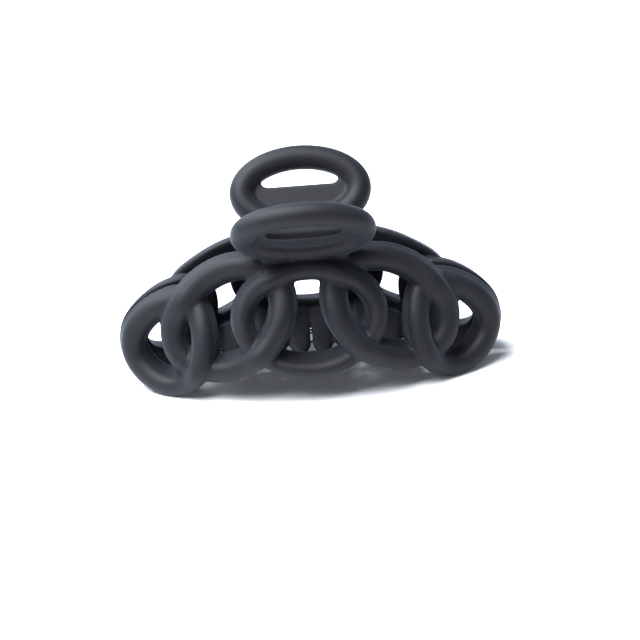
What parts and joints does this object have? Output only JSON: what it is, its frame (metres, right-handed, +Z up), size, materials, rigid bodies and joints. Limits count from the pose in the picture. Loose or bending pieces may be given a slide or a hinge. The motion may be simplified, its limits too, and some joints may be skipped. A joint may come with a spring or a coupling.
{
  "type": "claw clip",
  "caption": "Sprung hair claw with openwork jaws of interlinked oval rings, interlocking comb teeth and two oval ring handles.",
  "frame": {"origin": "On the ground, under the middle of the clip as it stands closed on the four end links.", "axes": "+X along the clip, parallel to the hinge pin; -Y to the front jaw and +Y to the back jaw; +Z up to the handles."},
  "size_m": [0.1068, 0.0496, 0.0579],
  "materials": {
    "jaw_plastic": "matte charcoal, faint satin sheen",
    "pin_steel": "drawn steel with upset heads",
    "spring_steel": "drawn spring wire"
  },
  "bodies": {
    "front": {"front_jaw": "jaw_plastic", "hinge_pin": "pin_steel", "torsion_spring": "spring_steel"},
    "back": {"back_jaw": "jaw_plastic"}
  },
  "joints": [
    {"name": "jaw_hinge", "type": "hinge", "parent": "front", "child": "back", "pos_m": [0, 0, 0.0394], "axis": [1, 0, 0], "range_deg": [0, 90], "stiffness_Nm_per_rad": 0.12, "springref_deg": -85.94, "deforming": ["torsion_spring"]}
  ]
}
